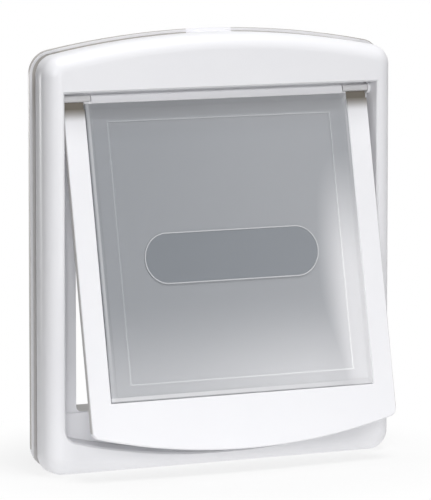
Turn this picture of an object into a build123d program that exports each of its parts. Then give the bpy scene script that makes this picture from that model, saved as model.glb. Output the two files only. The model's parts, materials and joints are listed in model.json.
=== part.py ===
from build123d import *
import os
from math import atan, degrees, sqrt

# Dog door: an arched frame that is screwed to a door, a flap frame that
# opens outwards and a clear flap that swings inwards through the tunnel.
# Millimetres. +Z is up, the front faces -Y, and the origin is the middle of
# the four fixing holes, on the face that lies against the door.
# Heights are measured from the foot of the front cover, depths from its face.

# Front cover
cover_width = 302.0
cover_height = 337.5
arch_rise = 16.2
cover_depth = 22.0
cover_round = 12.0
cover_wall = 2.6
hollow_bevel = 6.5
corner_radius = 16.0

# Opening in the front cover
side_bar = 14.7
head_height = 42.1
sill_height = 10.0
sill_rise = 2.2
sill_depth = 12.0
opening_corner = 10.0
reveal_wall = 2.4
opening_bevel = 1.4

# Base frame
groove_width = 5.0
flange_lip = 2.8
flange_foot = 3.1
flange_thickness = 2.4
ledge_width = 16.8
ledge_rise = 37.3
ledge_depth = 17.8
ledge_thickness = 2.5
ledge_margin = 4.0
pad_height = 1.3
pad_clearance = 0.4
pad_bevel = 1.0
skirt_wall = 2.0
tunnel_wall = 2.0
tunnel_corner = 4.0
tunnel_reach = 20.6
rib_thickness = 1.8
side_ribs = 3
foot_rib_spacing = 160.0

# Rib and finger tab in the groove along the arch
top_rib_inset = 22.0
top_rib_recess = 1.2
top_rib_wall = 1.8
tab_width = 39.0

# Fixing holes and cover screws
fixing_offset = 10.5
fixing_rise = 14.3
fixing_fall = 10.0
fixing_hole = 4.0
fixing_hole_depth = 9.5
fixing_boss = 9.0
screw_boss = 7.5
screw_top_rise = 17.2
screw_top_inset = 43.0
screw_foot_height = 14.6
screw_foot_inset = 17.0
screw_shank = 3.0
screw_head = 7.6
screw_length = 16.0
screw_clearance = 0.05

# Hinge
hinge_depth = 14.7
hinge_fall = 5.8
rod_diameter = 3.0
rod_clearance = 0.05
barrel_front = 4.9
barrel_back = 2.6
barrel_height = 5.2
barrel_round = 2.2
barrel_gap = 1.0
lintel_rise = 2.0
lug_thickness = 2.6
lug_radius = 4.5
lug_clearance = 0.3

# Flap frame
open_angle = 11.6
flap_gap = 3.55
flap_thickness = 3.8
flap_face = 2.3
bow_radius = 523.0
bow_clearance = 0.5
flap_corner = 7.0
flap_edge_bevel = 0.7
bar_width = 18.35
notch_height = 5.6
notch_floor = 0.3
web_height = 12.0
web_back = 2.6
bottom_rail = 42.4

# Clear flap and its hinge rail
panel_clearance = 0.4
panel_step = 1.1
panel_rim = 4.5
panel_lip = 2.6
panel_lip_thickness = 1.6
panel_lip_inset = 6.0
lip_clearance = 0.3
panel_hollow = 2.6
field_side = 16.5
field_top = 14.0
field_foot = 12.0
field_step = 0.4
plaque_width = 152.0
plaque_height = 40.0
plaque_fall = 7.2
plaque_step = 0.5
rail_gap = 4.9
rail_top = 2.6
rail_foot = 4.2
rail_front = 4.9
rail_back = 2.6
rail_round = 2.2
rail_tail = 12.0

# Magnets
magnet_length = 60.0
magnet_width = 8.0
magnet_thickness = 2.0
magnet_clearance = 0.1
magnet_height = 33.6

# Widths and heights that follow from the sizes above
opening_width = cover_width - 2 * side_bar
opening_top = cover_height - head_height
tunnel_width = opening_width - 2 * ledge_width
tunnel_floor = sill_height + ledge_rise
tunnel_top = opening_top - hinge_fall + lintel_rise
fixing_width = tunnel_width + 2 * fixing_offset
fixing_low = tunnel_floor + fixing_rise
fixing_high = tunnel_top - fixing_fall
fixing_height = fixing_high - fixing_low
hinge_height = opening_top - hinge_fall
flap_width = opening_width - 2 * flap_gap
flap_drop = hinge_height - sill_height - sill_rise - bow_clearance
window_width = flap_width - 2 * bar_width
window_drop = flap_drop - bottom_rail
panel_width = window_width - 2 * panel_clearance
panel_foot = window_drop - panel_clearance
panel_middle = (panel_foot + rail_foot) / 2
field_height = panel_foot - rail_foot - field_top - field_foot
lip_height = panel_foot - rail_foot - rail_tail - panel_clearance
rail_width = window_width - 2 * rail_gap
barrel_length = (flap_width - rail_width) / 2 - barrel_gap
lug_place = opening_width / 2 - lug_clearance - lug_thickness

# Depths and origin that follow from the sizes above
frame_depth = cover_depth + groove_width + flange_thickness
foot = -(fixing_low + fixing_high) / 2
hinge_y = hinge_depth - frame_depth
hinge_z = foot + hinge_height
flap_back = flap_face - flap_thickness
panel_face = flap_face + panel_step
pad_depth = ledge_depth - pad_height
head_angle = degrees(atan((screw_head - screw_shank) / 2 / flange_thickness))


def frame_plane(depth):
    """Plane facing the front at a depth behind the cover's face, with heights as its own y."""
    return Plane((0, depth - frame_depth, foot), x_dir=(1, 0, 0), z_dir=(0, -1, 0))


def arched_outline(width, low, apex, radius):
    """Outline of the frame: straight sides, an arched top and rounded corners."""
    half = width / 2
    spring = apex - arch_rise
    with BuildSketch() as outline:
        with BuildLine():
            Polyline((-half, spring), (-half, low), (half, low), (half, spring))
            ThreePointArc((half, spring), (0, apex), (-half, spring))
        make_face()
        fillet(outline.vertices(), radius)
    return outline.sketch


def cover_outline(inset):
    """Outline of the front cover at its rear edge, drawn in on every side by an inset."""
    return arched_outline(
        cover_width - 2 * inset,
        inset,
        cover_height - inset,
        corner_radius - inset,
    )


def bowed_outline(width, top, bow, radius, corner):
    """Panel with straight sides and top and a foot that bows down in an arc."""
    half = width / 2
    spring = bow + radius - sqrt(radius**2 - half**2)
    with BuildSketch() as outline:
        with BuildLine():
            Polyline((-half, spring), (-half, top), (half, top), (half, spring))
            ThreePointArc((half, spring), (0, bow), (-half, spring))
        make_face()
        fillet(outline.vertices().group_by(Axis.Y)[0], corner)
    return outline.sketch


def opening_outline(margin, sill_drop=0.0):
    """Opening in the front cover, grown on every side by a margin, its sill lowered by a drop."""
    return bowed_outline(
        opening_width + 2 * margin,
        opening_top + margin,
        sill_height + sill_rise - sill_drop - margin,
        bow_radius + bow_clearance + margin,
        opening_corner + margin,
    )


closed_plane = Plane((0, hinge_y, hinge_z), x_dir=(1, 0, 0), z_dir=(0, -1, 0))
flap_plane = closed_plane.rotated((-open_angle, 0, 0))
flap_front = Axis((0, 0, 0), flap_plane.z_dir)
hinge_plane = Plane((0, hinge_y, hinge_z), x_dir=(0, 1, 0), z_dir=(1, 0, 0))


def profile_plane(place):
    """Plane across the hinge at a place along it, with the flap's front as x and its top as y."""
    return Plane((place, hinge_y, hinge_z), x_dir=flap_plane.z_dir, z_dir=(-1, 0, 0))


screw_tops = cover_width / 2 - screw_top_inset
screw_feet = cover_width / 2 - screw_foot_inset
screw_places = [(side * screw_tops, opening_top + screw_top_rise) for side in (-1, 1)]
screw_places += [(side * screw_feet, screw_foot_height) for side in (-1, 1)]

# Hollow behind the front cover
with BuildPart() as cover_hollow:
    with BuildSketch(frame_plane(cover_depth)):
        add(cover_outline(cover_wall))
    extrude(amount=cover_depth - cover_wall)
    chamfer(cover_hollow.faces().sort_by(Axis.Y)[0].edges(), hollow_bevel)

# Front cover: a rounded shell with the reveal of the opening inside it
with BuildPart() as front_cover:
    with BuildSketch(frame_plane(cover_depth)):
        add(cover_outline(0))
    extrude(amount=cover_depth)
    fillet(front_cover.faces().sort_by(Axis.Y)[0].edges(), cover_round)
    add(cover_hollow.part, mode=Mode.SUBTRACT)
    with BuildSketch(frame_plane(ledge_depth)):
        add(opening_outline(reveal_wall, sill_rise))
    extrude(amount=ledge_depth - cover_wall)
    with BuildSketch(frame_plane(cover_depth + groove_width)):
        with Locations(*screw_places):
            Rectangle(screw_boss, screw_boss)
    extrude(amount=cover_depth + groove_width - cover_wall)
    with BuildSketch(frame_plane(ledge_depth)):
        add(opening_outline(0))
    extrude(amount=ledge_depth, mode=Mode.SUBTRACT)
    with BuildSketch(frame_plane(sill_depth)):
        add(opening_outline(0))
    with BuildSketch(frame_plane(0)):
        add(opening_outline(0, sill_rise))
    loft(ruled=True, mode=Mode.SUBTRACT)
    with BuildSketch(frame_plane(opening_bevel)):
        add(opening_outline(0, sill_rise * (1 - opening_bevel / sill_depth)))
    extrude(amount=opening_bevel, taper=-45, mode=Mode.SUBTRACT)
    with BuildSketch(frame_plane(cover_depth + groove_width)):
        with Locations(*screw_places):
            Circle(screw_shank / 2 + screw_clearance)
    extrude(amount=screw_length, mode=Mode.SUBTRACT)
front_cover.part.label = "front_cover"

# Base frame: flange, skirt, ledge and tunnel in one wall that is open at the back
with BuildPart() as base_frame:
    with BuildSketch(frame_plane(frame_depth)):
        add(
            arched_outline(
                cover_width + 2 * flange_lip,
                flange_foot,
                cover_height + flange_lip,
                corner_radius + flange_lip,
            )
        )
    extrude(amount=flange_thickness)
    with BuildSketch(frame_plane(frame_depth)):
        add(opening_outline(ledge_margin))
    extrude(amount=frame_depth - ledge_depth)
    with BuildSketch(frame_plane(frame_depth)):
        add(opening_outline(ledge_margin - skirt_wall))
    extrude(amount=frame_depth - ledge_depth - ledge_thickness, mode=Mode.SUBTRACT)
    with BuildSketch(frame_plane(ledge_depth)):
        with Locations((0, (tunnel_floor + tunnel_top) / 2)):
            RectangleRounded(
                tunnel_width + 2 * tunnel_wall,
                tunnel_top - tunnel_floor + 2 * tunnel_wall,
                tunnel_corner + tunnel_wall,
            )
    extrude(amount=-(frame_depth - ledge_depth + tunnel_reach))
    with BuildSketch(frame_plane(frame_depth)):
        with Locations((0, (fixing_low + fixing_high) / 2)):
            with GridLocations(0, fixing_height / (side_ribs + 1), 1, side_ribs):
                Rectangle(opening_width + 2 * ledge_margin - skirt_wall, rib_thickness)
        with Locations((0, sill_height + ledge_rise / 2)):
            with GridLocations(foot_rib_spacing, 0, 2, 1):
                Rectangle(rib_thickness, ledge_rise)
    extrude(amount=frame_depth - ledge_depth - ledge_thickness)
    with BuildSketch(frame_plane(frame_depth)):
        with Locations((0, (fixing_low + fixing_high) / 2)):
            with GridLocations(fixing_width, fixing_height, 2, 2):
                Rectangle(fixing_boss, fixing_boss)
    extrude(amount=frame_depth - ledge_depth - ledge_thickness)
    with BuildSketch(frame_plane(ledge_depth)):
        add(opening_outline(-pad_clearance))
        with Locations((0, tunnel_floor)):
            Rectangle(
                opening_width,
                opening_width,
                align=(Align.CENTER, Align.MAX),
                mode=Mode.INTERSECT,
            )
    extrude(amount=pad_height)
    pad_front = base_frame.faces().filter_by(Axis.Y).sort_by(Axis.Y)[0]
    chamfer(pad_front.edges().sort_by(Axis.Z)[-1], pad_bevel)
    with BuildSketch(frame_plane(ledge_depth)):
        with Locations((0, (tunnel_floor + tunnel_top) / 2)):
            RectangleRounded(tunnel_width, tunnel_top - tunnel_floor, tunnel_corner)
    extrude(amount=-(frame_depth - ledge_depth + tunnel_reach), mode=Mode.SUBTRACT)
    with BuildSketch(frame_plane(pad_depth)):
        with Locations((0, magnet_height)):
            Rectangle(magnet_length + 2 * magnet_clearance, magnet_width + 2 * magnet_clearance)
    extrude(amount=-(magnet_thickness + magnet_clearance), mode=Mode.SUBTRACT)
    with BuildSketch(frame_plane(frame_depth - flange_thickness)):
        add(cover_outline(top_rib_recess))
        add(cover_outline(top_rib_recess + top_rib_wall), mode=Mode.SUBTRACT)
        with Locations((0, cover_height)):
            Rectangle(cover_width - 2 * top_rib_inset, 4 * arch_rise, mode=Mode.INTERSECT)
    extrude(amount=groove_width)
    with BuildSketch(frame_plane(frame_depth - flange_thickness)):
        add(cover_outline(0))
        add(cover_outline(top_rib_recess + top_rib_wall), mode=Mode.SUBTRACT)
        with Locations((0, cover_height)):
            Rectangle(tab_width, 2 * arch_rise, mode=Mode.INTERSECT)
    extrude(amount=groove_width)
    for place in (-lug_place - lug_thickness, lug_place):
        with BuildSketch(hinge_plane.offset(place)):
            Circle(lug_radius)
            Rectangle(ledge_depth - hinge_depth, 2 * lug_radius, align=(Align.MIN, Align.CENTER))
        extrude(amount=lug_thickness)
    with BuildSketch(hinge_plane):
        Circle(rod_diameter / 2 + rod_clearance)
    extrude(amount=opening_width / 2, both=True, mode=Mode.SUBTRACT)
    with BuildSketch(frame_plane(frame_depth)):
        with Locations((0, (fixing_low + fixing_high) / 2)):
            with GridLocations(fixing_width, fixing_height, 2, 2):
                Circle(fixing_hole / 2)
    extrude(amount=fixing_hole_depth, mode=Mode.SUBTRACT)
    with BuildSketch(frame_plane(frame_depth)):
        with Locations(*screw_places):
            Circle(screw_head / 2)
    extrude(amount=flange_thickness, taper=head_angle, mode=Mode.SUBTRACT)
base_frame.part.label = "base_frame"

# Screws that hold the cover to the flange, driven from the back
with BuildPart() as cover_screws:
    with BuildSketch(frame_plane(frame_depth)):
        with Locations(*screw_places):
            Circle(screw_head / 2)
    extrude(amount=flange_thickness, taper=head_angle)
    with BuildSketch(frame_plane(frame_depth - flange_thickness)):
        with Locations(*screw_places):
            Circle(screw_shank / 2)
    extrude(amount=screw_length - flange_thickness)
cover_screws.part.label = "cover_screws"

# Hinge rod, held in the two lugs
with BuildPart() as hinge_rod:
    with BuildSketch(hinge_plane):
        Circle(rod_diameter / 2)
    extrude(amount=lug_place + lug_thickness, both=True)
hinge_rod.part.label = "hinge_rod"

# Bar magnet in the ledge below the tunnel
with BuildPart() as frame_magnet:
    with BuildSketch(frame_plane(pad_depth + magnet_clearance)):
        with Locations((0, magnet_height)):
            Rectangle(magnet_length, magnet_width)
    extrude(amount=-magnet_thickness)
frame_magnet.part.label = "frame_magnet"

# Flap frame: two bars and a bowed bottom rail, hung on the rod by two barrels
with BuildPart() as flap_frame:
    with BuildSketch(flap_plane.offset(flap_back)):
        add(bowed_outline(flap_width, 0, -flap_drop, bow_radius, flap_corner))
        with Locations((0, -window_drop)):
            Rectangle(
                window_width,
                window_drop + barrel_height,
                align=(Align.CENTER, Align.MIN),
                mode=Mode.SUBTRACT,
            )
    extrude(amount=flap_thickness)
    chamfer(flap_frame.faces().sort_by(flap_front)[-1].edges(), flap_edge_bevel)
    for place in (flap_width / 2, -window_width / 2):
        with BuildSketch(profile_plane(place)):
            with Locations((-notch_floor, -barrel_height / 2)):
                Rectangle(flap_thickness, notch_height, align=(Align.MIN, Align.MAX))
        extrude(amount=bar_width, mode=Mode.SUBTRACT)
        with BuildSketch(profile_plane(place)):
            with Locations((-web_back, 0)):
                Rectangle(web_back - notch_floor, web_height, align=(Align.MIN, Align.MAX))
        extrude(amount=bar_width)
    for place in (flap_width / 2, -rail_width / 2 - barrel_gap):
        with BuildSketch(profile_plane(place)):
            with Locations(((barrel_front - barrel_back) / 2, 0)):
                RectangleRounded(barrel_front + barrel_back, barrel_height, barrel_round)
        extrude(amount=barrel_length)
    with BuildSketch(hinge_plane):
        Circle(rod_diameter / 2 + rod_clearance)
    extrude(amount=flap_width / 2, both=True, mode=Mode.SUBTRACT)
    with BuildSketch(flap_plane.offset(flap_back)):
        with Locations((0, magnet_height - hinge_height)):
            Rectangle(magnet_length + 2 * magnet_clearance, magnet_width + 2 * magnet_clearance)
    extrude(amount=magnet_thickness + magnet_clearance, mode=Mode.SUBTRACT)
flap_frame.part.label = "flap_frame"

# Bar magnet in the back of the bottom rail
with BuildPart() as flap_magnet:
    with BuildSketch(flap_plane.offset(flap_back + magnet_clearance)):
        with Locations((0, magnet_height - hinge_height)):
            Rectangle(magnet_length, magnet_width)
    extrude(amount=magnet_thickness)
flap_magnet.part.label = "flap_magnet"

# Clear flap: a bevelled panel whose lip at the back rests on the flap frame
with BuildPart() as flap_panel:
    with BuildSketch(flap_plane.offset(flap_back)):
        with Locations((0, -panel_foot)):
            Rectangle(panel_width, panel_foot - rail_foot, align=(Align.CENTER, Align.MIN))
    extrude(amount=flap_thickness)
    with BuildSketch(flap_plane.offset(flap_face)):
        with Locations((0, -panel_foot)):
            Rectangle(panel_width, panel_foot - rail_foot, align=(Align.CENTER, Align.MIN))
    extrude(amount=panel_step, taper=degrees(atan(panel_rim / panel_step)))
    with BuildSketch(flap_plane.offset(flap_back)):
        with Locations((0, -panel_foot)):
            Rectangle(panel_width, lip_height, align=(Align.CENTER, Align.MIN))
    extrude(amount=-lip_clearance)
    with BuildSketch(flap_plane.offset(flap_back - lip_clearance)):
        with Locations((0, -panel_foot - panel_lip)):
            Rectangle(
                panel_width + 2 * panel_lip,
                lip_height + panel_lip,
                align=(Align.CENTER, Align.MIN),
            )
    extrude(amount=-panel_lip_thickness)
    with BuildSketch(flap_plane.offset(flap_back - lip_clearance - panel_lip_thickness)):
        with Locations((0, panel_lip_inset - panel_foot)):
            Rectangle(
                panel_width - 2 * panel_lip_inset,
                lip_height,
                align=(Align.CENTER, Align.MIN),
            )
    extrude(amount=lip_clearance + panel_lip_thickness, mode=Mode.SUBTRACT)
    with BuildSketch(flap_plane.offset(flap_back)):
        with Locations((0, panel_lip_inset - panel_foot)):
            Rectangle(
                panel_width - 2 * panel_lip_inset,
                lip_height - 2 * panel_lip_inset,
                align=(Align.CENTER, Align.MIN),
            )
    extrude(amount=panel_hollow, mode=Mode.SUBTRACT)
    with BuildSketch(flap_plane.offset(panel_face)):
        with Locations((0, field_foot - panel_foot)):
            Rectangle(panel_width - 2 * field_side, field_height, align=(Align.CENTER, Align.MIN))
    extrude(amount=-field_step, mode=Mode.SUBTRACT)
    with BuildSketch(flap_plane.offset(panel_face - field_step)):
        with Locations((0, -panel_middle - plaque_fall)):
            SlotOverall(plaque_width, plaque_height)
    extrude(amount=plaque_step)
flap_panel.part.label = "flap_panel"

# Hinge rail along the top of the clear flap, turning on the rod
with BuildPart() as hinge_rail:
    with BuildSketch(profile_plane(rail_width / 2)) as rail_profile:
        with BuildLine():
            Polyline(
                (-rail_back, rail_top),
                (rail_front, rail_top),
                (rail_front, -rail_foot),
                (flap_back, -rail_foot),
                (flap_back, -rail_foot - rail_tail),
                (-rail_back, -rail_foot - rail_tail),
                close=True,
            )
        make_face()
        fillet(rail_profile.vertices().group_by(Axis.Y)[-1], rail_round)
        Circle(rod_diameter / 2 + rod_clearance, mode=Mode.SUBTRACT)
    extrude(amount=rail_width)
hinge_rail.part.label = "hinge_rail"

os.makedirs("parts", exist_ok=True)
pieces = [front_cover, base_frame, cover_screws, hinge_rod, frame_magnet]
pieces += [flap_frame, flap_magnet, flap_panel, hinge_rail]
for piece in pieces:
    export_step(piece.part, f"parts/{piece.part.label}.step")
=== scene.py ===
"""Looks of the dog door: finishes, moulded lines, gussets, screws and a plain studio around the part."""

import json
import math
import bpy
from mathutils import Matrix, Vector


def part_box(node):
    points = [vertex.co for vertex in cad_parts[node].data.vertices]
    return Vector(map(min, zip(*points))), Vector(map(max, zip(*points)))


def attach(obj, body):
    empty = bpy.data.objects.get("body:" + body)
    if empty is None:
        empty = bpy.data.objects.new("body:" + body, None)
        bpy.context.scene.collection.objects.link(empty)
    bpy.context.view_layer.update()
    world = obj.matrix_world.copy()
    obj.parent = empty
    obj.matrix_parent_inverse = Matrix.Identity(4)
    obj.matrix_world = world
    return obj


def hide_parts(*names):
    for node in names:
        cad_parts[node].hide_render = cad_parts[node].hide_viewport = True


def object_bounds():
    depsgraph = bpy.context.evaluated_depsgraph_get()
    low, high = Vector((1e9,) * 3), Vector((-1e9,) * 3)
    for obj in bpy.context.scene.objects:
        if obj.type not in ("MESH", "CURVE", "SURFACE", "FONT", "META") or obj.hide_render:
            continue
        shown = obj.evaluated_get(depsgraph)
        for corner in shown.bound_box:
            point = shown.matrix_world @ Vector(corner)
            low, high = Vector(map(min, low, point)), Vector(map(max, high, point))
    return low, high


bl_info = {
    "name": "Dog Door Looks",
    "version": (1, 0, 0),
    "blender": (4, 5, 0),
    "location": "View3D > Sidebar > Dog Door",
    "description": "Dresses the dog door's parts and sets up a plain studio around it",
    "category": "Object",
}

import bmesh
import bpy
from bpy.props import FloatProperty, FloatVectorProperty, PointerProperty
from mathutils import Matrix, Vector

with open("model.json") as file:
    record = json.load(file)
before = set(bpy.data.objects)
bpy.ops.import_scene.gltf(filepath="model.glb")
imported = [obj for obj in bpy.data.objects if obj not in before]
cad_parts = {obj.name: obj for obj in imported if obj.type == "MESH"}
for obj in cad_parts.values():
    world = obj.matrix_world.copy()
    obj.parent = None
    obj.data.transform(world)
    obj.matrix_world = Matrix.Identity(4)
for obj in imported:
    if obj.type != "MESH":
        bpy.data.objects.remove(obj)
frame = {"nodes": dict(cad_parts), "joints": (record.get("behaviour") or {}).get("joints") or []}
cad_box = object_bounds()
joints = {joint["name"]: joint for joint in frame["joints"]}

# Outline of the cover, in metres
COVER_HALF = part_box("front_cover")[1].x
CORNER_RADIUS = 0.016
CORNER_PLACE = COVER_HALF - CORNER_RADIUS
ARCH_RADIUS = 0.712
ARCH_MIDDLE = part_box("front_cover")[1].z - ARCH_RADIUS
CORNER_LEVEL = ARCH_MIDDLE + math.sqrt((ARCH_RADIUS - CORNER_RADIUS) ** 2 - CORNER_PLACE**2)

# Where the base is darkened, in metres: painted shade by depth from the door's face, and reach past the
# cover's outline
SHADE_DEPTH = {"start": -0.009, "stop": -0.0001}
SHADE_REACH = {"start": -0.012, "stop": 0.01}
GROOVE_LIMIT = 0.0003
FLANGE_EDGE = 0.0025
TAB_HALF = 0.0196
TUNNEL_FLOOR = {"start": -0.125, "stop": -0.1236}
TUNNEL_HALF = 0.1195
TUNNEL_FRONT = -0.011

# Where shade is painted on the flap frame, in metres from the hinge line in the flap's own axes
RECESS = {"start": -0.0083, "stop": -0.0026}
BAR_BACK = 0.001
EDGE_DEPTH = 0.00035
SIDE_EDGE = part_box("flap_frame")[1].x - EDGE_DEPTH

# Shares of painted shade, in the groove by the height and on the bars by the fall from the hinge line, where
# it is a painted shadow of the cover's head
GROOVE_SHADE = {"start": 0.09, "stop": 0.135, "low": 0.6, "high": 1.0}
FLANGE_SHADE = 0.12
BAR_SHADOW = {"start": -0.0185, "stop": -0.0075, "low": 0.0, "high": 0.95}
BARREL_SHADE = 0.25
EDGE_SHADE = 0.45

# Zones of painted light on the clear flap, standing in for reflections and for light seen through it: places
# in metres in the flap's own axes, and shares of painted light
SIDE_PAINTED_LIGHT = {"start": -0.12, "stop": 0.1, "low": 0.0, "high": 0.13}
FOOT_PAINTED_LIGHT = {"start": -0.155, "stop": -0.235, "low": 0.0, "high": 0.42}
FOOT_ACROSS = {"start": -0.1, "stop": 0.09, "low": 0.9, "high": 1.4}
TOP_PAINTED_LIGHT = {"start": -0.03, "stop": -0.004, "low": 0.0, "high": 0.2}
RIGHT_PAINTED_LIGHT = {"start": 0.066, "stop": 0.104, "low": 0.0, "high": 1.0}
RIGHT_FALL = {"start": -0.02, "stop": -0.15, "low": 0.0, "high": 1.0}

# Painted highlights along the bevelled rim: their place as shares of its width, and their share of painted
# light
SIDE_RIM = {"start": 0.2, "stop": 0.6, "painted_light": 0.4}
FOOT_RIM = {"start": 0.15, "stop": 0.75, "painted_light": 0.9}

# Skins of the plastics: roughness, scale and strength of the fine relief, and its depth in metres
CLEAR_SKIN = {"roughness": 0.3, "scale": 900.0, "relief": 0.06}
LINE_SKIN = {"roughness": 0.25, "scale": 900.0, "relief": 0.05}
WHITE_SCALE = 1800.0
WHITE_RELIEF = 0.12
SKIN_DEPTH = 0.0001

# How much smoother and rougher than their mean the plastics are in places
SMOOTHER = 0.05
ROUGHER = 0.06

# Flow marks of the grey plastics, as shares of their colour
CLEAR_FLOW = 0.97
LINE_FLOW = 0.95

# Refraction, gloss and clearness of the plastics
WHITE_REFRACTION = 1.49
WHITE_SPECULAR = 0.45
CLEAR_REFRACTION = 1.3
CLEARNESS = 0.3

# Drawing marks of the metal parts: scale along and across, strength, depth in metres, and roughness
MARK_SCALE = (40.0, 2600.0, 2600.0)
MARK_RELIEF = 0.1
MARK_DEPTH = 0.00005
ROD_ROUGHNESS = (0.24, 0.42)
PLATE_ROUGHNESS = (0.16, 0.3)
SCREW_ROUGHNESS = (0.24, 0.4)

# Fineness and tapers of the small pieces
PILL_SEGMENTS = 96
SCREW_SEGMENTS = 32
GUSSET_SEGMENTS = 2
RECESS_TAPER = 0.6
POINT_TAPER = 0.15

# Camera and lamps, in metres, with the sensor in millimetres
CAMERA_PLACE = (-1.4977, -2.929, 0.3808)
CAMERA_TARGET = (-0.00766, -0.0294, -0.00265)
SENSOR_WIDTH = 36.0
VIEW_DEPTH = 60.0
KEY_LAMP = {"size": 0.9, "place": (0.1, -0.7, 2.15)}
FRONT_LAMP = {"size": 0.4, "place": (0.25, -2.5, 0.05)}
SIDE_LAMP = {"size": 0.9, "place": (-1.35, -2.4, 0.7)}
BACK_LAMP = {"size": 0.25, "place": (-0.6, 2.2, -0.02)}

# Floor: half its width and its gap in metres, and what changes with the distance from the origin
FLOOR_HALF = 15.0
FLOOR_GAP = 0.0005
FLOOR_ROUGHNESS = 0.8
FLOOR_TONE = {"start": 0.25, "stop": 0.8, "low": 0.8, "high": 0.2}
FLOOR_WHITE = {"start": 0.2, "stop": 0.3, "low": 0.8, "high": 1.0}
FLOOR_BOUNCE = {"start": 0.16, "stop": 0.38, "low": 0.75, "high": 0.0}


class MouldingSettings(bpy.types.PropertyGroup):
    """Finish of the white mouldings, with the colours of their painted shade."""

    white: FloatVectorProperty(
        name="White",
        description="Colour of the white plastic",
        subtype="COLOR",
        default=(0.83, 0.83, 0.85),
        min=0.0,
        max=1.0,
    )
    shade: FloatVectorProperty(
        name="White in the flow marks",
        description="Colour of the white plastic where the melt flowed unevenly",
        subtype="COLOR",
        default=(0.79, 0.79, 0.82),
        min=0.0,
        max=1.0,
    )
    # Painted shade in the groove behind the cover and on the flange's edge; the tunnel floor is darkened
    # with it too.
    groove: FloatVectorProperty(
        name="Dust on the base",
        description="Colour of the base where shade is painted, as in the groove behind the cover",
        subtype="COLOR",
        default=(0.45, 0.43, 0.41),
        min=0.0,
        max=1.0,
    )
    # Painted shade in the recess under the hinge barrels, on the barrels and side edges, and a painted
    # shadow down the bars.
    recess: FloatVectorProperty(
        name="Dust on the flap frame",
        description="Colour of the flap frame where shade is painted, as in the recess under the hinge barrels",
        subtype="COLOR",
        default=(0.2, 0.178, 0.148),
        min=0.0,
        max=1.0,
    )
    roughness: FloatProperty(
        name="Roughness",
        description="Roughness of the white plastic",
        subtype="FACTOR",
        default=0.36,
        min=0.0,
        max=1.0,
    )


class PanelSettings(bpy.types.PropertyGroup):
    """Finish, painted light and moulded lines of the clear flap."""

    smoke: FloatVectorProperty(
        name="Smoke",
        description="Colour of the translucent grey sheet",
        subtype="COLOR",
        default=(0.36, 0.375, 0.4),
        min=0.0,
        max=1.0,
    )
    # Painted light on the sheet, standing in for reflections, light seen through it and highlights on its
    # rim.
    painted_light: FloatVectorProperty(
        name="Haze",
        description="Colour of the sheet where it is hazy",
        subtype="COLOR",
        default=(0.86, 0.86, 0.88),
        min=0.0,
        max=1.0,
    )
    plaque: FloatVectorProperty(
        name="Plaque",
        description="Tint of the plaque, which multiplies the sheet's colour",
        subtype="COLOR",
        default=(0.72, 0.74, 0.76),
        min=0.0,
        max=1.0,
    )
    edge: FloatVectorProperty(
        name="Edge of the plaque",
        description="Colour of the raised line round the plaque",
        subtype="COLOR",
        default=(0.47, 0.48, 0.5),
        min=0.0,
        max=1.0,
    )
    # Painted light on the raised lines, as on the sheet.
    line_painted_light: FloatVectorProperty(
        name="Line haze",
        description="Colour of the raised lines where they are hazy",
        subtype="COLOR",
        default=(0.95, 0.95, 0.96),
        min=0.0,
        max=1.0,
    )
    line_width: FloatProperty(
        name="Line width",
        description="Width of the moulded lines",
        unit="LENGTH",
        default=0.0009,
        min=0.0002,
        max=0.003,
    )
    line_height: FloatProperty(
        name="Line height",
        description="How far the moulded lines stand out of the sheet",
        unit="LENGTH",
        default=0.0003,
        min=0.0001,
        max=0.002,
    )
    plaque_width: FloatProperty(
        name="Plaque width",
        description="Overall width of the pill-shaped plaque",
        unit="LENGTH",
        default=0.152,
    )
    plaque_height: FloatProperty(
        name="Plaque height",
        description="Height of the pill-shaped plaque",
        unit="LENGTH",
        default=0.04,
    )
    plaque_fall: FloatProperty(
        name="Plaque fall",
        description="Middle of the plaque below the hinge line, along the flap",
        unit="LENGTH",
        default=0.1263,
    )
    plaque_face: FloatProperty(
        name="Plaque face",
        description="Face of the plaque in front of the hinge line",
        unit="LENGTH",
        default=0.0035,
    )
    field_width: FloatProperty(
        name="Field width",
        description="Width of the sunk field round the plaque",
        unit="LENGTH",
        default=0.195,
    )
    field_top: FloatProperty(
        name="Field top",
        description="Upper edge of the field below the hinge line, along the flap",
        unit="LENGTH",
        default=0.0182,
    )
    field_foot: FloatProperty(
        name="Field foot",
        description="Lower edge of the field below the hinge line, along the flap",
        unit="LENGTH",
        default=0.2221,
    )
    panel_width: FloatProperty(
        name="Panel width",
        description="Width of the clear flap",
        unit="LENGTH",
        default=0.228,
    )
    panel_foot: FloatProperty(
        name="Panel foot",
        description="Lower edge of the clear flap below the hinge line, along the flap",
        unit="LENGTH",
        default=0.2341,
    )
    panel_rim: FloatProperty(
        name="Panel rim",
        description="Width of the bevelled rim round the clear flap",
        unit="LENGTH",
        default=0.0045,
    )
    panel_face: FloatProperty(
        name="Panel face",
        description="Face of the clear flap in front of the hinge line",
        unit="LENGTH",
        default=0.0034,
    )


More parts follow.
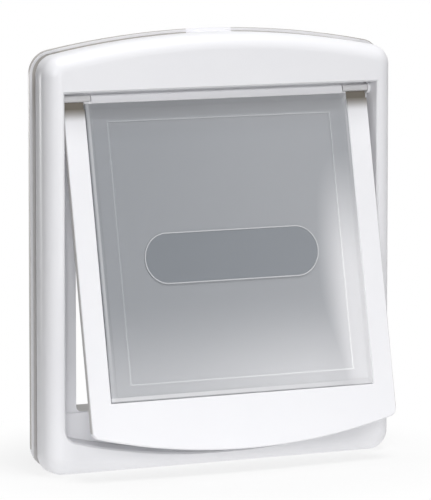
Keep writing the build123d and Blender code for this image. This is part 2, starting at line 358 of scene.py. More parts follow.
class GussetSettings(bpy.types.PropertyGroup):
    """Sizes of the gussets next to the hinge barrels, in the flap's own axes."""

    place: FloatProperty(
        name="Place",
        description="Middle of each gusset from the flap's middle",
        unit="LENGTH",
        default=0.1125,
    )
    forward: FloatProperty(
        name="Forward",
        description="Middle of each gusset in front of the hinge line",
        unit="LENGTH",
        default=0.00035,
    )
    fall: FloatProperty(
        name="Fall",
        description="Middle of each gusset below the hinge line",
        unit="LENGTH",
        default=0.0033,
    )
    width: FloatProperty(
        name="Width",
        description="Width of each gusset along the hinge",
        unit="LENGTH",
        default=0.0039,
    )
    depth: FloatProperty(
        name="Depth",
        description="Depth of each gusset across the flap",
        unit="LENGTH",
        default=0.0023,
    )
    height: FloatProperty(
        name="Height",
        description="Height of each gusset along the flap",
        unit="LENGTH",
        default=0.0015,
    )
    edge: FloatProperty(
        name="Edge",
        description="Rounding of the gussets' edges",
        unit="LENGTH",
        default=0.0002,
    )


class MetalSettings(bpy.types.PropertyGroup):
    """Colours of the metal parts."""

    rod: FloatVectorProperty(
        name="Rod",
        description="Colour of the hinge rod's zinc",
        subtype="COLOR",
        default=(0.62, 0.62, 0.63),
        min=0.0,
        max=1.0,
    )
    plate: FloatVectorProperty(
        name="Magnets",
        description="Colour of the magnets' nickel",
        subtype="COLOR",
        default=(0.66, 0.64, 0.61),
        min=0.0,
        max=1.0,
    )
    screw: FloatVectorProperty(
        name="Screws",
        description="Colour of the screws' zinc",
        subtype="COLOR",
        default=(0.6, 0.6, 0.62),
        min=0.0,
        max=1.0,
    )


class ScrewSettings(bpy.types.PropertyGroup):
    """Sizes of the cover screws."""

    head: FloatProperty(
        name="Head",
        description="Diameter of the countersunk head",
        unit="LENGTH",
        default=0.0075,
    )
    head_depth: FloatProperty(
        name="Head depth",
        description="Depth of the countersunk head",
        unit="LENGTH",
        default=0.0024,
    )
    shank: FloatProperty(
        name="Shank",
        description="Diameter of the shank",
        unit="LENGTH",
        default=0.0029,
    )
    tip: FloatProperty(
        name="Tip",
        description="Length of the pointed tip",
        unit="LENGTH",
        default=0.003,
    )
    arm: FloatProperty(
        name="Recess arm",
        description="Length of each arm of the cross recess",
        unit="LENGTH",
        default=0.0021,
    )
    slot: FloatProperty(
        name="Recess width",
        description="Width of each arm of the cross recess",
        unit="LENGTH",
        default=0.0009,
    )
    recess_depth: FloatProperty(
        name="Recess depth",
        description="Depth of the cross recess",
        unit="LENGTH",
        default=0.0015,
    )


class StudioSettings(bpy.types.PropertyGroup):
    """Light and lens of the studio."""

    ambient: FloatProperty(
        name="Ambient",
        description="Strength of the even light from all round",
        default=0.12,
        min=0.0,
    )
    key_power: FloatProperty(
        name="Key light",
        description="Power of the large lamp above the front",
        unit="POWER",
        default=39.0,
        min=0.0,
    )
    front_power: FloatProperty(
        name="Front light",
        description="Power of the low lamp in front",
        unit="POWER",
        default=9.0,
        min=0.0,
    )
    side_power: FloatProperty(
        name="Side light",
        description="Power of the lamp on the camera's side",
        unit="POWER",
        default=27.0,
        min=0.0,
    )
    back_power: FloatProperty(
        name="Back light",
        description="Power of the low lamp behind",
        unit="POWER",
        default=16.0,
        min=0.0,
    )
    lens: FloatProperty(
        name="Lens",
        description="Focal length on the camera's sensor",
        subtype="DISTANCE_CAMERA",
        default=352.37,
    )


def hinge_matrix():
    """Flap's own axes from the hinge line: X along the hinge, Y to the flap's back and Z up the flap."""
    joint = joints["outer_flap_hinge"]
    turn = Matrix.Rotation(-math.radians(joint["range_deg"][1]), 4, "X")
    return Matrix.Translation(joint["pos_m"]) @ turn


def finish_mesh(name, mesh_data, material, body):
    """Makes an object of a bmesh, gives it its material, and lets it ride on a body."""
    mesh = bpy.data.meshes.new(name)
    bmesh.ops.recalc_face_normals(mesh_data, faces=mesh_data.faces)
    mesh_data.to_mesh(mesh)
    mesh_data.free()
    piece = bpy.data.objects.new(name, mesh)
    bpy.context.scene.collection.objects.link(piece)
    mesh.materials.append(material)
    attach(piece, body)
    return piece


def dress(node, material):
    """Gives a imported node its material."""
    mesh = frame["nodes"][node].data
    mesh.materials.clear()
    mesh.materials.append(material)


def rgba(colour):
    """Colour with full opacity, as the sockets of nodes take it."""
    return (*colour, 1.0)


def add_node(tree, kind, **values):
    """Adds a node and sets its attributes and input values by name."""
    node = tree.nodes.new(kind)
    for name, value in values.items():
        if name in node.inputs:
            node.inputs[name].default_value = value
        else:
            setattr(node, name, value)
    return node


def combine(tree, operation, first, second=0.0):
    """One step of arithmetic on values that are each a socket or a number."""
    node = add_node(tree, "ShaderNodeMath", operation=operation)
    for place, value in enumerate((first, second)):
        if isinstance(value, float):
            node.inputs[place].default_value = value
        else:
            tree.links.new(value, node.inputs[place])
    return node.outputs["Value"]


def total(tree, first, *others):
    """Sum of some values."""
    for value in others:
        first = combine(tree, "ADD", first, value)
    return first


def times(tree, first, *others):
    """Product of some values."""
    for value in others:
        first = combine(tree, "MULTIPLY", first, value)
    return first


def largest(tree, first, *others):
    """Largest of some values."""
    for value in others:
        first = combine(tree, "MAXIMUM", first, value)
    return first


def above(tree, value, limit):
    """1 where a value is above a limit, and 0 elsewhere."""
    return combine(tree, "GREATER_THAN", value, limit)


def below(tree, value, limit):
    """1 where a value is below a limit, and 0 elsewhere."""
    return combine(tree, "LESS_THAN", value, limit)


def band(tree, value, start, stop):
    """1 where a value is between two places, and 0 elsewhere."""
    return times(tree, above(tree, value, start), below(tree, value, stop))


def diagonal(tree, first, second):
    """Length of two values taken at a right angle."""
    squares = [times(tree, value, value) for value in (first, second)]
    return combine(tree, "SQRT", total(tree, *squares))


def ramp(tree, value, start, stop, low, high):
    """Value that runs smoothly from low to high between two places."""
    node = add_node(tree, "ShaderNodeMapRange", interpolation_type="SMOOTHSTEP")
    node.inputs["From Min"].default_value = start
    node.inputs["From Max"].default_value = stop
    node.inputs["To Min"].default_value = low
    node.inputs["To Max"].default_value = high
    tree.links.new(value, node.inputs["Value"])
    return node.outputs["Result"]


def new_group(name, inputs, outputs):
    """New node group with named inputs and their defaults, and named outputs and their kinds."""
    group = bpy.data.node_groups.new(name, "ShaderNodeTree")
    for label, value in inputs.items():
        kind = "NodeSocketFloat" if isinstance(value, float) else "NodeSocketColor"
        item = group.interface.new_socket(name=label, in_out="INPUT", socket_type=kind)
        item.default_value = value
    for label, kind in outputs.items():
        group.interface.new_socket(name=label, in_out="OUTPUT", socket_type=kind)
    given = group.nodes.new("NodeGroupInput")
    result = group.nodes.new("NodeGroupOutput")
    return group, given, result


def moulded_group():
    """Moulded plastic: cloudy colour, a little uneven gloss and a very fine skin."""
    if "Moulded plastic" in bpy.data.node_groups:
        return bpy.data.node_groups["Moulded plastic"]
    inputs = {
        "Colour": (0.8, 0.8, 0.8, 1.0),
        "Flow colour": (0.75, 0.75, 0.75, 1.0),
        "Cloud scale": 14.0,
        "Skin scale": 1800.0,
        "Roughness low": 0.3,
        "Roughness high": 0.42,
    }
    outputs = {"Colour": "NodeSocketColor", "Roughness": "NodeSocketFloat", "Height": "NodeSocketFloat"}
    group, given, result = new_group("Moulded plastic", inputs, outputs)
    place = group.nodes.new("ShaderNodeTexCoord")
    cloud = add_node(group, "ShaderNodeTexNoise", Detail=4.0, Roughness=0.55)
    skin = add_node(group, "ShaderNodeTexNoise", Detail=2.0, Roughness=0.5)
    tint = add_node(group, "ShaderNodeMix", data_type="RGBA")
    gloss = add_node(group, "ShaderNodeMapRange")
    link = group.links.new
    link(place.outputs["Object"], cloud.inputs["Vector"])
    link(place.outputs["Object"], skin.inputs["Vector"])
    link(given.outputs["Cloud scale"], cloud.inputs["Scale"])
    link(given.outputs["Skin scale"], skin.inputs["Scale"])
    link(cloud.outputs["Fac"], tint.inputs["Factor"])
    link(given.outputs["Colour"], tint.inputs["A"])
    link(given.outputs["Flow colour"], tint.inputs["B"])
    link(cloud.outputs["Fac"], gloss.inputs["Value"])
    link(given.outputs["Roughness low"], gloss.inputs["To Min"])
    link(given.outputs["Roughness high"], gloss.inputs["To Max"])
    link(tint.outputs["Result"], result.inputs["Colour"])
    link(gloss.outputs["Result"], result.inputs["Roughness"])
    link(skin.outputs["Fac"], result.inputs["Height"])
    return group


def axes_group():
    """Places in the flap's own axes: across it, behind the hinge line and up from it."""
    if "Flap axes" in bpy.data.node_groups:
        return bpy.data.node_groups["Flap axes"]
    outputs = {"Across": "NodeSocketFloat", "Back": "NodeSocketFloat", "Up": "NodeSocketFloat"}
    group, _, result = new_group("Flap axes", {}, outputs)
    place = group.nodes.new("ShaderNodeTexCoord")
    own = add_node(group, "ShaderNodeMapping", vector_type="TEXTURE")
    own.inputs["Location"].default_value = hinge_matrix().to_translation()
    own.inputs["Rotation"].default_value = hinge_matrix().to_euler()
    axes = group.nodes.new("ShaderNodeSeparateXYZ")
    group.links.new(place.outputs["Object"], own.inputs["Vector"])
    group.links.new(own.outputs["Vector"], axes.inputs["Vector"])
    for axis, label in zip("XYZ", outputs):
        group.links.new(axes.outputs[axis], result.inputs[label])
    return group


def painted_light_group():
    """Painted light on the clear flap, standing in for reflections and light seen through it: more towards
    one side and the foot, and painted highlights along its bevelled rim.
    """
    if "Sheet haze" in bpy.data.node_groups:
        return bpy.data.node_groups["Sheet haze"]
    inputs = {
        "Colour": (0.4, 0.4, 0.4, 1.0),
        "Haze": (0.9, 0.9, 0.9, 1.0),
        "Across": 0.0,
        "Up": 0.0,
        "Half width": 0.1,
        "Foot": 0.2,
        "Rim": 0.005,
    }
    group, given, result = new_group("Sheet haze", inputs, {"Colour": "NodeSocketColor"})
    across = given.outputs["Across"]
    up = given.outputs["Up"]
    rim = given.outputs["Rim"]
    # Painted light: lighter towards the right side, at the foot and at the top, and strongest in a band on
    # the right.
    foot = times(group, ramp(group, up, **FOOT_PAINTED_LIGHT), ramp(group, across, **FOOT_ACROSS))
    even = total(group, ramp(group, across, **SIDE_PAINTED_LIGHT), foot, ramp(group, up, **TOP_PAINTED_LIGHT))
    right = times(group, ramp(group, across, **RIGHT_PAINTED_LIGHT), ramp(group, up, **RIGHT_FALL))
    from_side = combine(group, "SUBTRACT", given.outputs["Half width"], combine(group, "ABSOLUTE", across))
    from_foot = total(group, up, given.outputs["Foot"])
    lines = []
    # Painted highlights along the bevelled rim.
    for place, line in ((from_side, SIDE_RIM), (from_foot, FOOT_RIM)):
        on_line = band(group, place, times(group, rim, line["start"]), times(group, rim, line["stop"]))
        lines.append(times(group, on_line, line["painted_light"]))
    tint = add_node(group, "ShaderNodeMix", data_type="RGBA")
    group.links.new(largest(group, even, right, *lines), tint.inputs["Factor"])
    group.links.new(given.outputs["Colour"], tint.inputs["A"])
    group.links.new(given.outputs["Haze"], tint.inputs["B"])
    group.links.new(tint.outputs["Result"], result.inputs["Colour"])
    return group


def shading_group():
    """Painted shade over a colour, as strong as its amount says."""
    if "Dust" in bpy.data.node_groups:
        return bpy.data.node_groups["Dust"]
    inputs = {"Colour": (0.8, 0.8, 0.8, 1.0), "Dust": (0.3, 0.3, 0.3, 1.0), "Amount": 0.0}
    group, given, result = new_group("Dust", inputs, {"Colour": "NodeSocketColor"})
    tint = add_node(group, "ShaderNodeMix", data_type="RGBA")
    group.links.new(given.outputs["Amount"], tint.inputs["Factor"])
    group.links.new(given.outputs["Colour"], tint.inputs["A"])
    group.links.new(given.outputs["Dust"], tint.inputs["B"])
    group.links.new(tint.outputs["Result"], result.inputs["Colour"])
    return group


def drawn_group():
    """Drawing marks of metal: fine marks along its length, with uneven gloss."""
    if "Drawing marks" in bpy.data.node_groups:
        return bpy.data.node_groups["Drawing marks"]
    inputs = {"Roughness low": 0.2, "Roughness high": 0.4}
    outputs = {"Roughness": "NodeSocketFloat", "Height": "NodeSocketFloat"}
    group, given, result = new_group("Drawing marks", inputs, outputs)
    place = group.nodes.new("ShaderNodeTexCoord")
    stretch = add_node(group, "ShaderNodeMapping", Scale=MARK_SCALE)
    marks = add_node(group, "ShaderNodeTexNoise", Scale=1.0, Detail=3.0)
    gloss = add_node(group, "ShaderNodeMapRange")
    link = group.links.new
    link(place.outputs["Object"], stretch.inputs["Vector"])
    link(stretch.outputs["Vector"], marks.inputs["Vector"])
    link(marks.outputs["Fac"], gloss.inputs["Value"])
    link(given.outputs["Roughness low"], gloss.inputs["To Min"])
    link(given.outputs["Roughness high"], gloss.inputs["To Max"])
    link(gloss.outputs["Result"], result.inputs["Roughness"])
    link(marks.outputs["Fac"], result.inputs["Height"])
    return group


def new_material(name):
    """New node material with its Principled BSDF."""
    material = bpy.data.materials.new(name)
    material.use_nodes = True
    shader = material.node_tree.nodes["Principled BSDF"]
    return material, material.node_tree, shader


def place_skin(tree, shader, skin, relief, depth):
    """Links the roughness and the fine relief of a group to the shader."""
    bump = add_node(tree, "ShaderNodeBump", Strength=relief, Distance=depth)
    tree.links.new(skin.outputs["Height"], bump.inputs["Height"])
    tree.links.new(bump.outputs["Normal"], shader.inputs["Normal"])
    tree.links.new(skin.outputs["Roughness"], shader.inputs["Roughness"])


def place_moulded(tree, shader, colour, flow, roughness, scale, relief):
    """Puts the moulded plastic group in a material and links its skin, and gives its colour."""
    skin = add_node(tree, "ShaderNodeGroup", node_tree=moulded_group(), Colour=rgba(colour))
    skin.inputs["Flow colour"].default_value = rgba(flow)
    skin.inputs["Skin scale"].default_value = scale
    skin.inputs["Roughness low"].default_value = roughness - SMOOTHER
    skin.inputs["Roughness high"].default_value = roughness + ROUGHER
    place_skin(tree, shader, skin, relief, SKIN_DEPTH)
    return skin.outputs["Colour"]


def place_painted_light(tree, colour, painted_light, settings):
    """Puts the painted light group in a material, over a colour, and gives the new colour."""
    axes = add_node(tree, "ShaderNodeGroup", node_tree=axes_group())
    sheet = add_node(tree, "ShaderNodeGroup", node_tree=painted_light_group(), Haze=rgba(painted_light))
    sheet.inputs["Half width"].default_value = settings.panel_width / 2
    sheet.inputs["Foot"].default_value = settings.panel_foot
    sheet.inputs["Rim"].default_value = settings.panel_rim
    tree.links.new(colour, sheet.inputs["Colour"])
    for label in ("Across", "Up"):
        tree.links.new(axes.outputs[label], sheet.inputs[label])
    return sheet.outputs["Colour"]


def pill_mask(tree, settings):
    """1 on the pill-shaped plaque, and 0 elsewhere."""
    axes = add_node(tree, "ShaderNodeGroup", node_tree=axes_group())
    radius = settings.plaque_height / 2
    straight = settings.plaque_width / 2 - radius
    across = combine(tree, "ABSOLUTE", axes.outputs["Across"])
    past = largest(tree, total(tree, across, -straight), 0.0)
    drop = total(tree, axes.outputs["Up"], settings.plaque_fall)
    return below(tree, diagonal(tree, past, drop), radius)


def smoke_plastic(settings):
    """Translucent grey sheet with painted light towards one side and the foot."""
    material, tree, shader = new_material("Smoke grey plastic")
    flow = [part * CLEAR_FLOW for part in settings.smoke]
    colour = place_moulded(tree, shader, settings.smoke, flow, **CLEAR_SKIN)
    plaque = add_node(tree, "ShaderNodeMix", data_type="RGBA", blend_type="MULTIPLY")
    plaque.inputs["B"].default_value = rgba(settings.plaque)
    tree.links.new(pill_mask(tree, settings), plaque.inputs["Factor"])
    # Painted light over the sheet's colour, standing in for reflections, light seen through the sheet and
    # highlights along its rim.
    tree.links.new(place_painted_light(tree, colour, settings.painted_light, settings), plaque.inputs["A"])
    tree.links.new(plaque.outputs["Result"], shader.inputs["Base Color"])
    shader.inputs["IOR"].default_value = CLEAR_REFRACTION
    shader.inputs["Transmission Weight"].default_value = CLEARNESS
    return material


def clear_line(name, line_colour, settings):
    """Raised line in the grey sheet, which catches the light and has the same painted light as the sheet."""
    material, tree, shader = new_material(name)
    flow = [part * LINE_FLOW for part in line_colour]
    colour = place_moulded(tree, shader, line_colour, flow, **LINE_SKIN)
    # Painted light on the line, as on the sheet.
    brightened = place_painted_light(tree, colour, settings.line_painted_light, settings)
    tree.links.new(brightened, shader.inputs["Base Color"])
    return material


def flap_shading(tree):
    """How much shade is painted on the flap frame: in the recess, a painted shadow of the cover's head down
    the bars, and painted shade on the barrels and on the side edges.
    """
    axes = add_node(tree, "ShaderNodeGroup", node_tree=axes_group())
    up = axes.outputs["Up"]
    # Painted shadow of the cover's head, fading down the bars below the recess.
    fade = times(tree, below(tree, up, RECESS["start"]), ramp(tree, up, **BAR_SHADOW))
    front = below(tree, axes.outputs["Back"], BAR_BACK)
    bars = times(tree, largest(tree, band(tree, up, **RECESS), fade), front)
    barrels = times(tree, above(tree, up, RECESS["stop"]), BARREL_SHADE)
    across = combine(tree, "ABSOLUTE", axes.outputs["Across"])
    edges = times(tree, above(tree, across, SIDE_EDGE), EDGE_SHADE)
    return largest(tree, barrels, bars, edges)


def cover_distance(tree, across, up):
    """How far a place lies outside the cover's outline, at its arch, upper corners and sides."""
    arch = total(tree, diagonal(tree, across, total(tree, up, -ARCH_MIDDLE)), -ARCH_RADIUS)
    past_side = largest(tree, total(tree, across, -CORNER_PLACE), 0.0)
    past_level = largest(tree, total(tree, up, -CORNER_LEVEL), 0.0)
    corner = total(tree, diagonal(tree, past_side, past_level), -CORNER_RADIUS)
    own_corner = times(tree, corner, above(tree, across, CORNER_PLACE))
    own_arch = times(tree, arch, below(tree, across, CORNER_PLACE))
    return total(tree, own_corner, own_arch)


def base_shading(tree):
    """How dark the base is made: painted shade in the groove round the cover and on the flange's edge, and a
    darker tunnel floor.
    """
    place = tree.nodes.new("ShaderNodeTexCoord")
    axes = tree.nodes.new("ShaderNodeSeparateXYZ")
    tree.links.new(place.outputs["Object"], axes.inputs["Vector"])
    across = combine(tree, "ABSOLUTE", axes.outputs["X"])
    back = axes.outputs["Y"]
    up = axes.outputs["Z"]
    outside = cover_distance(tree, across, up)
    line = times(tree, below(tree, outside, GROOVE_LIMIT), ramp(tree, up, **GROOVE_SHADE))
    # Painted shade: full along the line behind the cover's outline and past the flange's edge, weaker on the
    # flange's face.
    thickness = largest(tree, line, above(tree, outside, FLANGE_EDGE), FLANGE_SHADE)
    ring = times(tree, band(tree, back, **SHADE_DEPTH), band(tree, outside, **SHADE_REACH))
    groove = times(tree, ring, above(tree, across, TAB_HALF), thickness)
    # The tunnel floor is darker.
    floor = times(tree, band(tree, up, **TUNNEL_FLOOR), below(tree, across, TUNNEL_HALF))
    tunnel = times(tree, floor, above(tree, back, TUNNEL_FRONT))
    return largest(tree, groove, tunnel)


def white_plastic(name, settings):
    """Satin white moulded plastic."""
    material, tree, shader = new_material(name)
    skin = {"roughness": settings.roughness, "scale": WHITE_SCALE, "relief": WHITE_RELIEF}
    colour = place_moulded(tree, shader, settings.white, settings.shade, **skin)
    tree.links.new(colour, shader.inputs["Base Color"])
    shader.inputs["IOR"].default_value = WHITE_REFRACTION
    shader.inputs["Specular IOR Level"].default_value = WHITE_SPECULAR
    return material


def add_shading(material, shading_mask, colour):
    """Lays painted shade over a material's colour where a mask shows it."""
    tree = material.node_tree
    base = tree.nodes["Principled BSDF"].inputs["Base Color"]
    shading = add_node(tree, "ShaderNodeGroup", node_tree=shading_group(), Dust=rgba(colour))
    tree.links.new(base.links[0].from_socket, shading.inputs["Colour"])
    tree.links.new(shading_mask(tree), shading.inputs["Amount"])
    tree.links.new(shading.outputs["Colour"], base)


def plated_metal(name, colour, roughness):
    """Plated metal with fine drawing marks along its length."""
    material, tree, shader = new_material(name)
    marks = add_node(tree, "ShaderNodeGroup", node_tree=drawn_group())
    for label, value in zip(("Roughness low", "Roughness high"), roughness):
        marks.inputs[label].default_value = value
    place_skin(tree, shader, marks, MARK_RELIEF, MARK_DEPTH)
    shader.inputs["Base Color"].default_value = rgba(colour)
    shader.inputs["Metallic"].default_value = 1.0
    return material


class DOGDOOR_OT_white_mouldings(bpy.types.Operator):
    """Gives the cover, base, flap frame and hinge rail their white plastic, with painted shade on the base
    and the flap frame
    """

    bl_idname = "dogdoor.white_mouldings"
    bl_label = "White mouldings"

    def execute(self, context):
        settings = context.scene.dogdoor_moulding
        white = white_plastic("White moulded plastic", settings)
        for node in ("front_cover", "hinge_rail"):
            dress(node, white)
        base = white_plastic("White plastic of the base", settings)
        # Painted shade round the cover, and a darker tunnel floor.
        add_shading(base, base_shading, settings.groove)
        dress("base_frame", base)
        flap = white_plastic("White plastic of the flap", settings)
        # Painted shade under the hinge barrels, and a painted shadow down the bars.
        add_shading(flap, flap_shading, settings.recess)
        dress("flap_frame", flap)
        return {"FINISHED"}


class DOGDOOR_OT_clear_flap(bpy.types.Operator):
    """Gives the clear flap its translucent grey plastic, with painted light"""

    bl_idname = "dogdoor.clear_flap"
    bl_label = "Clear flap"

    def execute(self, context):
        dress("flap_panel", smoke_plastic(context.scene.dogdoor_panel))
        return {"FINISHED"}


def pill_outline(settings, upright):
    """Flat face of the plaque's outline: a circle whose halves are drawn apart."""
    pill = bmesh.new()
    radius = settings.plaque_height / 2
    straight = settings.plaque_width / 2 - radius
    bmesh.ops.create_circle(pill, cap_ends=True, segments=PILL_SEGMENTS, radius=radius, matrix=upright)
    for vert in pill.verts:
        vert.co.x += math.copysign(straight, vert.co.x)
    bmesh.ops.translate(pill, verts=pill.verts, vec=(0.0, 0.0, -settings.plaque_fall))
    return pill


def field_outline(settings, upright):
    """Flat face of the field's outline."""
    field = bmesh.new()
    bmesh.ops.create_grid(field, x_segments=1, y_segments=1, size=0.5, matrix=upright)
    tall = settings.field_foot - settings.field_top
    bmesh.ops.scale(field, verts=field.verts, vec=(settings.field_width, 1.0, tall))
    middle = -(settings.field_foot + settings.field_top) / 2
    bmesh.ops.translate(field, verts=field.verts, vec=(0.0, 0.0, middle))
    return field


def raised_line(name, outline, face, settings, material):
    """Thin raised line along a closed outline, which is given as a flat face in the flap's own axes."""
    middle = outline.faces[:]
    width = settings.line_width
    bmesh.ops.inset_region(outline, faces=middle, thickness=width, use_boundary=True, use_even_offset=True)
    bmesh.ops.delete(outline, geom=middle, context="FACES")
    bmesh.ops.translate(outline, verts=outline.verts, vec=(0.0, -face, 0.0))
    raised = bmesh.ops.extrude_face_region(outline, geom=outline.faces[:])
    tops = [item for item in raised["geom"] if isinstance(item, bmesh.types.BMVert)]
    bmesh.ops.translate(outline, verts=tops, vec=(0.0, -settings.line_height, 0.0))
    bmesh.ops.transform(outline, matrix=hinge_matrix(), verts=outline.verts)
    return finish_mesh(name, outline, material, "inner_flap")


class DOGDOOR_OT_moulded_lines(bpy.types.Operator):
    """Makes the raised lines round the plaque and the field of the clear flap"""

    bl_idname = "dogdoor.moulded_lines"
    bl_label = "Moulded lines"

    def execute(self, context):
        settings = context.scene.dogdoor_panel
        upright = Matrix.Rotation(math.pi / 2, 4, "X")
        light = clear_line("Light moulded line", settings.edge, settings)
        faint = clear_line("Faint moulded line", settings.smoke, settings)
        sunk_face = settings.panel_face - settings.line_height
        raised_line("plaque_line", pill_outline(settings, upright), settings.plaque_face, settings, light)
        raised_line("field_line", field_outline(settings, upright), sunk_face, settings, faint)
        return {"FINISHED"}


class DOGDOOR_OT_barrel_gussets(bpy.types.Operator):
    """Makes the small gussets between the hinge barrels and the flap frame's bars"""

    bl_idname = "dogdoor.barrel_gussets"
    bl_label = "Barrel gussets"

    def execute(self, context):
        settings = context.scene.dogdoor_gusset
        gussets = bmesh.new()
        for side in (-1.0, 1.0):
            middle = Vector((side * settings.place, -settings.forward, -settings.fall))
            box = bmesh.ops.create_cube(gussets, size=1.0)["verts"]
            bmesh.ops.scale(gussets, verts=box, vec=(settings.width, settings.depth, settings.height))
            bmesh.ops.translate(gussets, verts=box, vec=middle)
        bmesh.ops.bevel(
            gussets,
            geom=gussets.edges[:],
            offset=settings.edge,
            segments=GUSSET_SEGMENTS,
            profile=0.5,
            affect="EDGES",
            material=-1,
        )
        bmesh.ops.transform(gussets, matrix=hinge_matrix(), verts=gussets.verts)
        white = white_plastic("White plastic of the gussets", context.scene.dogdoor_moulding)
        finish_mesh("barrel_gussets", gussets, white, "outer_flap")
        return {"FINISHED"}


class DOGDOOR_OT_metal_parts(bpy.types.Operator):
    """Gives the hinge rod and the magnets their plated metal"""

    bl_idname = "dogdoor.metal_parts"
    bl_label = "Metal parts"

    def execute(self, context):
        settings = context.scene.dogdoor_metal
        dress("hinge_rod", plated_metal("Zinc steel of the rod", settings.rod, ROD_ROUGHNESS))
        nickel = plated_metal("Nickel plate", settings.plate, PLATE_ROUGHNESS)
        for node in ("frame_magnet", "flap_magnet"):
            dress(node, nickel)
        return {"FINISHED"}


def ring_step(mesh_data, edges, scale, fall):
    """Extrudes a loop of edges, narrows it and lowers it, and returns the new loop."""
    made = bmesh.ops.extrude_edge_only(mesh_data, edges=edges)["geom"]
    verts = [item for item in made if isinstance(item, bmesh.types.BMVert)]
    bmesh.ops.scale(mesh_data, verts=verts, vec=(scale, scale, 1.0))
    bmesh.ops.translate(mesh_data, verts=verts, vec=(0.0, 0.0, -fall))
    loop = set(verts)
    return [edge for edge in mesh_data.edges if edge.verts[0] in loop and edge.verts[1] in loop]


def screw_shape(settings, length):
    """One countersunk screw with a cross recess, its head's face at the origin and its tip down."""
    shape = bmesh.new()
    bmesh.ops.create_circle(shape, cap_ends=False, segments=SCREW_SEGMENTS, radius=settings.head / 2)
    rim = shape.edges[:]
    arm = settings.arm
    half = settings.slot / 2
    quarter = [(arm, -half), (arm, half), (half, half)]
    cross = []
    for turn in range(4):
        spin = Matrix.Rotation(turn * math.pi / 2, 3, "Z")
        cross += [shape.verts.new(spin @ Vector((x, y, 0.0))) for x, y in quarter]
    recess = [shape.edges.new((cross[place - 1], vert)) for place, vert in enumerate(cross)]
    bmesh.ops.triangle_fill(shape, use_beauty=True, edges=rim + recess, normal=(0.0, 0.0, 1.0))
    floor = ring_step(shape, recess, RECESS_TAPER, settings.recess_depth)
    bmesh.ops.triangle_fill(shape, use_beauty=True, edges=floor, normal=(0.0, 0.0, 1.0))
    neck = ring_step(shape, rim, settings.shank / settings.head, settings.head_depth)
    end = ring_step(shape, neck, 1.0, length - settings.head_depth - settings.tip)
    point = ring_step(shape, end, POINT_TAPER, settings.tip)
    bmesh.ops.triangle_fill(shape, use_beauty=True, edges=point, normal=(0.0, 0.0, -1.0))
    return shape


class DOGDOOR_OT_cover_screws(bpy.types.Operator):
    """Makes the four countersunk screws that hold the cover, with their cross recesses"""

    bl_idname = "dogdoor.cover_screws"
    bl_label = "Cover screws"

    def execute(self, context):
        points = [vert.co for vert in frame["nodes"]["cover_screws"].data.vertices]
        back = max(point.y for point in points)
        length = back - min(point.y for point in points)
        screws = screw_shape(context.scene.dogdoor_screw, length)
        bmesh.ops.transform(screws, matrix=Matrix.Rotation(-math.pi / 2, 4, "X"), verts=screws.verts)
        pattern = screws.verts[:]
        first = pattern + screws.edges[:] + screws.faces[:]
        for side in (-1.0, 1.0):
            for level in (-1.0, 1.0):
                own = [point for point in points if point.x * side > 0.0 and point.z * level > 0.0]
                across = (min(point.x for point in own) + max(point.x for point in own)) / 2
                up = (min(point.z for point in own) + max(point.z for point in own)) / 2
                copy = bmesh.ops.duplicate(screws, geom=first)["geom"]
                verts = [item for item in copy if isinstance(item, bmesh.types.BMVert)]
                bmesh.ops.translate(screws, verts=verts, vec=(across, back, up))
        bmesh.ops.delete(screws, geom=pattern, context="VERTS")
        zinc = context.scene.dogdoor_metal.screw
        steel = plated_metal("Zinc steel of the screws", zinc, SCREW_ROUGHNESS)
        made = finish_mesh("screws_with_recess", screws, steel, "frame")
        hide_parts("cover_screws")
        return {"FINISHED"}


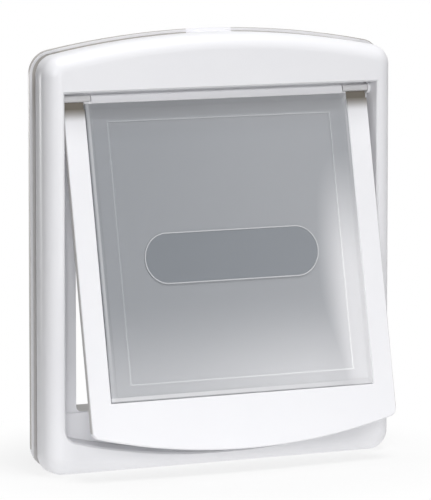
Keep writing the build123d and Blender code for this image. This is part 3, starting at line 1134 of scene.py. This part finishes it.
class DOGDOOR_OT_stage(bpy.types.Operator):
    """Sets up the camera, the lamps, the floor and the background"""

    bl_idname = "dogdoor.stage"
    bl_label = "Studio"

    def execute(self, context):
        settings = context.scene.dogdoor_studio
        scene = context.scene
        scene.view_settings.view_transform = "Standard"
        self.camera(scene, settings.lens)
        self.lamp(scene, "Key", settings.key_power, **KEY_LAMP)
        self.lamp(scene, "Front", settings.front_power, **FRONT_LAMP)
        self.lamp(scene, "Side", settings.side_power, **SIDE_LAMP)
        self.lamp(scene, "Back", settings.back_power, **BACK_LAMP)
        self.floor(scene)
        self.background(scene, settings.ambient)
        return {"FINISHED"}

    def camera(self, scene, lens):
        """Camera at the photograph's viewing angle."""
        data = bpy.data.cameras.new("Camera")
        data.sensor_fit = "HORIZONTAL"
        data.sensor_width = SENSOR_WIDTH
        data.lens = lens
        data.clip_end = VIEW_DEPTH
        camera = bpy.data.objects.new("Camera", data)
        camera.location = CAMERA_PLACE
        look = Vector(CAMERA_TARGET) - Vector(CAMERA_PLACE)
        camera.rotation_euler = look.to_track_quat("-Z", "Y").to_euler()
        scene.collection.objects.link(camera)
        scene.camera = camera

    def lamp(self, scene, name, power, size, place):
        """Square area lamp that looks at the object."""
        data = bpy.data.lights.new(name, "AREA")
        data.energy = power
        data.size = size
        lamp = bpy.data.objects.new(name, data)
        lamp.location = place
        lamp.rotation_euler = (-Vector(place)).to_track_quat("-Z", "Y").to_euler()
        scene.collection.objects.link(lamp)

    def seen(self, tree):
        """1 for rays that show the surroundings to the camera, also in gloss or through the clear flap."""
        path = tree.nodes.new("ShaderNodeLightPath")
        rays = [path.outputs[f"Is {kind} Ray"] for kind in ("Camera", "Glossy", "Transmission")]
        return largest(tree, *rays)

    def floor(self, scene):
        """Wide pale floor under the object."""
        sheet = bmesh.new()
        bmesh.ops.create_grid(sheet, x_segments=2, y_segments=2, size=FLOOR_HALF)
        bmesh.ops.translate(sheet, verts=sheet.verts, vec=(0.0, 0.0, cad_box[0].z - FLOOR_GAP))
        mesh = bpy.data.meshes.new("Floor")
        sheet.to_mesh(mesh)
        sheet.free()
        mesh.materials.append(self.floor_finish())
        floor = bpy.data.objects.new("Floor", mesh)
        scene.collection.objects.link(floor)

    def floor_finish(self):
        """Finish that is white to the camera apart from a faint shadow, and lights the object from below."""
        material, tree, shader = new_material("Pale floor")
        place = tree.nodes.new("ShaderNodeTexCoord")
        reach = add_node(tree, "ShaderNodeVectorMath", operation="LENGTH")
        away = reach.outputs["Value"]
        glow = add_node(tree, "ShaderNodeEmission", Strength=1.0)
        share = add_node(tree, "ShaderNodeMix", data_type="FLOAT")
        pale = tree.nodes.new("ShaderNodeMixShader")
        shader.inputs["Roughness"].default_value = FLOOR_ROUGHNESS
        link = tree.links.new
        link(place.outputs["Object"], reach.inputs[0])
        link(ramp(tree, away, **FLOOR_TONE), shader.inputs["Base Color"])
        link(self.seen(tree), share.inputs["Factor"])
        link(ramp(tree, away, **FLOOR_BOUNCE), share.inputs["A"])
        link(ramp(tree, away, **FLOOR_WHITE), share.inputs["B"])
        link(share.outputs["Result"], pale.inputs["Fac"])
        link(shader.outputs["BSDF"], pale.inputs[1])
        link(glow.outputs["Emission"], pale.inputs[2])
        link(pale.outputs["Shader"], tree.nodes["Material Output"].inputs["Surface"])
        return material

    def background(self, scene, ambient):
        """White background to the camera and an even grey light to the object."""
        world = bpy.data.worlds.new("Studio")
        world.use_nodes = True
        scene.world = world
        tree = world.node_tree
        level = add_node(tree, "ShaderNodeMapRange")
        level.inputs["To Min"].default_value = ambient
        level.inputs["To Max"].default_value = 1.0
        tree.links.new(self.seen(tree), level.inputs["Value"])
        tree.links.new(level.outputs["Result"], tree.nodes["Background"].inputs["Strength"])
        tree.nodes["Background"].inputs["Color"].default_value = (1.0, 1.0, 1.0, 1.0)


OPERATORS = (
    DOGDOOR_OT_white_mouldings,
    DOGDOOR_OT_clear_flap,
    DOGDOOR_OT_moulded_lines,
    DOGDOOR_OT_barrel_gussets,
    DOGDOOR_OT_metal_parts,
    DOGDOOR_OT_cover_screws,
    DOGDOOR_OT_stage,
)


class DOGDOOR_PT_panel(bpy.types.Panel):
    """Lists the steps that dress the dog door"""

    bl_idname = "DOGDOOR_PT_panel"
    bl_label = "Dog Door"
    bl_space_type = "VIEW_3D"
    bl_region_type = "UI"
    bl_category = "Dog Door"

    def draw(self, context):
        for operator in OPERATORS:
            self.layout.operator(operator.bl_idname)


SETTINGS = (MouldingSettings, PanelSettings, GussetSettings, MetalSettings, ScrewSettings, StudioSettings)
CLASSES = (*SETTINGS, *OPERATORS, DOGDOOR_PT_panel)


def register():
    for item in CLASSES:
        bpy.utils.register_class(item)
    bpy.types.Scene.dogdoor_moulding = PointerProperty(type=MouldingSettings)
    bpy.types.Scene.dogdoor_panel = PointerProperty(type=PanelSettings)
    bpy.types.Scene.dogdoor_gusset = PointerProperty(type=GussetSettings)
    bpy.types.Scene.dogdoor_metal = PointerProperty(type=MetalSettings)
    bpy.types.Scene.dogdoor_screw = PointerProperty(type=ScrewSettings)
    bpy.types.Scene.dogdoor_studio = PointerProperty(type=StudioSettings)


def unregister():
    del bpy.types.Scene.dogdoor_studio
    del bpy.types.Scene.dogdoor_screw
    del bpy.types.Scene.dogdoor_metal
    del bpy.types.Scene.dogdoor_gusset
    del bpy.types.Scene.dogdoor_panel
    del bpy.types.Scene.dogdoor_moulding
    for item in reversed(CLASSES):
        bpy.utils.unregister_class(item)


def main():
    register()
    bpy.ops.dogdoor.white_mouldings()
    bpy.ops.dogdoor.clear_flap()
    bpy.ops.dogdoor.moulded_lines()
    bpy.ops.dogdoor.barrel_gussets()
    bpy.ops.dogdoor.metal_parts()
    bpy.ops.dogdoor.cover_screws()
    bpy.ops.dogdoor.stage()


if __name__ == "__main__":
    main()
